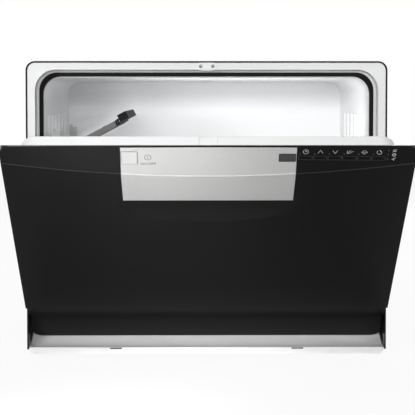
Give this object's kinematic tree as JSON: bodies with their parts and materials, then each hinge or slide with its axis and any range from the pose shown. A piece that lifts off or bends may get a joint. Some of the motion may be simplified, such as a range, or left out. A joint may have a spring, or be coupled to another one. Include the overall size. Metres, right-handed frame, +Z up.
{
  "type": "countertop dishwasher",
  "caption": "Compact countertop dishwasher with a drop-down front door, sliding wire basket, fold-down cup shelf, cutlery basket and turning spray arm.",
  "frame": {"origin": "on the counter, below the middle of the machine with its door half open", "axes": "+X to the machine's right as its front is faced, +Y to its rear, +Z up"},
  "size_m": [0.545, 0.7613, 0.447],
  "materials": {
    "black_sheet": "gloss black enamel on steel sheet",
    "grey_sheet": "zinc coated steel sheet",
    "black_plastic": "gloss black moulding",
    "white_plastic": "satin white moulding",
    "tub_plastic": "pale grey moulding",
    "silver_plastic": "silver lacquer",
    "dark_window": "smoked window",
    "black_rubber": "moulded seal",
    "grey_plastic": "grey moulding",
    "dark_plastic": "dark grey moulding",
    "blue_plastic": "blue moulding",
    "steel": "stainless steel",
    "coated_wire": "nylon coated wire",
    "board": "glass fibre board",
    "zinc": "zinc plated steel"
  },
  "bodies": {
    "cabinet": {"air_break": "white_plastic", "base_tray": "white_plastic", "cabinet_screws": "zinc", "cable_gland": "dark_plastic", "casing": "black_sheet", "circulation_pump": "dark_plastic", "door_gasket": "black_rubber", "door_sill": "white_plastic", "door_springs": "zinc", "drain_outlet": "dark_plastic", "drain_pump": "dark_plastic", "feet": "black_rubber", "filter_plate": "steel", "float_switch": "dark_plastic", "flow_heater": "steel", "front_frame": "white_plastic", "hinge_brackets": "zinc", "hinge_pins": "steel", "inlet_valve": "dark_plastic", "latch_striker": "steel", "rear_cover": "grey_sheet", "softener_tank": "white_plastic", "spray_hub": "white_plastic", "sump": "dark_plastic", "wash_tub": "tub_plastic"},
    "door": {"door_shell": "black_plastic", "control_fascia": "silver_plastic", "display_window": "dark_window", "door_liner": "white_plastic", "dispenser_housing": "grey_plastic", "door_lock_body": "dark_plastic", "control_board": "board", "hinge_arms": "zinc", "liner_screws": "zinc"},
    "basket": {"basket_floor": "coated_wire", "basket_front": "coated_wire", "basket_back": "coated_wire", "basket_left": "coated_wire", "basket_right": "coated_wire", "plate_tines": "coated_wire"},
    "dispenser_lid": {"dispenser_lid": "grey_plastic"},
    "rinse_aid_cap": {"rinse_aid_cap": "blue_plastic"},
    "latch_pawl": {"latch_pawl": "dark_plastic"},
    "on_off_button": {"on_off_button": "silver_plastic"},
    "option_button_1": {"option_button_1": "black_plastic"},
    "option_button_2": {"option_button_2": "black_plastic"},
    "option_button_3": {"option_button_3": "black_plastic"},
    "option_button_4": {"option_button_4": "black_plastic"},
    "option_button_5": {"option_button_5": "black_plastic"},
    "option_button_6": {"option_button_6": "black_plastic"},
    "spray_arm": {"spray_arm": "grey_plastic"},
    "filter_cup": {"filter_cup": "grey_plastic"},
    "salt_cap": {"salt_cap": "white_plastic"},
    "float_cap": {"float_cap": "white_plastic"},
    "front_roller_left": {"front_roller_left": "grey_plastic"},
    "front_roller_right": {"front_roller_right": "grey_plastic"},
    "rear_roller_left": {"rear_roller_left": "grey_plastic"},
    "rear_roller_right": {"rear_roller_right": "grey_plastic"},
    "cup_shelf": {"cup_shelf": "grey_plastic"},
    "cutlery_basket": {"cutlery_basket": "grey_plastic"}
  },
  "joints": [
    {"name": "door_hinge", "type": "hinge", "parent": "cabinet", "child": "door", "pos_m": [0, -0.11733, 0.088], "axis": [1, 0, 0], "range_deg": [-45, 45], "deforming": ["door_springs"]},
    {"name": "on_off_button_press", "type": "slide", "parent": "door", "child": "on_off_button", "axis": [0, 0.7815, 0.6239], "range_m": [0, 0.001], "stiffness_N_per_m": 400, "springref_m": -0.0005},
    {"name": "option_button_1_press", "type": "slide", "parent": "door", "child": "option_button_1", "axis": [0, 0.7815, 0.6239], "range_m": [0, 0.001], "stiffness_N_per_m": 400, "springref_m": -0.0005},
    {"name": "option_button_2_press", "type": "slide", "parent": "door", "child": "option_button_2", "axis": [0, 0.7815, 0.6239], "range_m": [0, 0.001], "stiffness_N_per_m": 400, "springref_m": -0.0005},
    {"name": "option_button_3_press", "type": "slide", "parent": "door", "child": "option_button_3", "axis": [0, 0.7815, 0.6239], "range_m": [0, 0.001], "stiffness_N_per_m": 400, "springref_m": -0.0005},
    {"name": "option_button_4_press", "type": "slide", "parent": "door", "child": "option_button_4", "axis": [0, 0.7815, 0.6239], "range_m": [0, 0.001], "stiffness_N_per_m": 400, "springref_m": -0.0005},
    {"name": "option_button_5_press", "type": "slide", "parent": "door", "child": "option_button_5", "axis": [0, 0.7815, 0.6239], "range_m": [0, 0.001], "stiffness_N_per_m": 400, "springref_m": -0.0005},
    {"name": "option_button_6_press", "type": "slide", "parent": "door", "child": "option_button_6", "axis": [0, 0.7815, 0.6239], "range_m": [0, 0.001], "stiffness_N_per_m": 400, "springref_m": -0.0005},
    {"name": "dispenser_lid_hinge", "type": "hinge", "parent": "door", "child": "dispenser_lid", "pos_m": [-0.037, -0.22248, 0.2314], "axis": [1, 0, 0], "range_deg": [0, 95]},
    {"name": "rinse_aid_cap_turn", "type": "hinge", "parent": "door", "child": "rinse_aid_cap", "pos_m": [0.047, -0.20219, 0.20821], "axis": [0, 0.7071, 0.7071], "range_deg": [0, 90]},
    {"name": "latch_pawl_turn", "type": "hinge", "parent": "door", "child": "latch_pawl", "pos_m": [0, -0.33583, 0.31215], "axis": [1, 0, 0], "range_deg": [0, 40], "stiffness_Nm_per_rad": 0.05},
    {"name": "spray_arm_spin", "type": "hinge", "parent": "cabinet", "child": "spray_arm", "pos_m": [0, 0.09467, 0.1135], "axis": [0, 0, 1], "continuous": true},
    {"name": "filter_cup_turn", "type": "hinge", "parent": "cabinet", "child": "filter_cup", "pos_m": [0.044, 0.09467, 0.097], "axis": [0, 0, 1], "range_deg": [0, 90]},
    {"name": "salt_cap_turn", "type": "hinge", "parent": "cabinet", "child": "salt_cap", "pos_m": [-0.165, -0.01133, 0.097], "axis": [0, 0, 1], "range_deg": [0, 90]},
    {"name": "float_rise", "type": "slide", "parent": "cabinet", "child": "float_cap", "axis": [0, 0, 1], "range_m": [0, 0.006]},
    {"name": "basket_slide", "type": "slide", "parent": "cabinet", "child": "basket", "axis": [0, -1, 0], "range_m": [0, 0.055]},
    {"name": "front_roller_left_roll", "type": "hinge", "parent": "basket", "child": "front_roller_left", "pos_m": [-0.233, -0.01333, 0.124], "axis": [1, 0, 0], "range_deg": [0, 299.5]},
    {"name": "rear_roller_left_roll", "type": "hinge", "parent": "basket", "child": "rear_roller_left", "pos_m": [-0.233, 0.20867, 0.124], "axis": [1, 0, 0], "range_deg": [0, 299.5]},
    {"name": "front_roller_right_roll", "type": "hinge", "parent": "basket", "child": "front_roller_right", "pos_m": [0.233, -0.01333, 0.124], "axis": [1, 0, 0], "range_deg": [0, 299.5]},
    {"name": "rear_roller_right_roll", "type": "hinge", "parent": "basket", "child": "rear_roller_right", "pos_m": [0.233, 0.20867, 0.124], "axis": [1, 0, 0], "range_deg": [0, 299.5]},
    {"name": "cup_shelf_fold", "type": "hinge", "parent": "basket", "child": "cup_shelf", "pos_m": [-0.232, 0.07767, 0.306], "axis": [0, -1, 0], "range_deg": [-28, 32]},
    {"name": "cutlery_basket_lift", "type": "slide", "parent": "basket", "child": "cutlery_basket", "axis": [0, 0, 1], "range_m": [0, 0.12]}
  ],
  "couplings": [
    {"joint": "front_roller_left_roll", "follows": "basket_slide", "rad_per_m": 93.458},
    {"joint": "rear_roller_left_roll", "follows": "basket_slide", "rad_per_m": 93.458},
    {"joint": "front_roller_right_roll", "follows": "basket_slide", "rad_per_m": 93.458},
    {"joint": "rear_roller_right_roll", "follows": "basket_slide", "rad_per_m": 93.458}
  ]
}
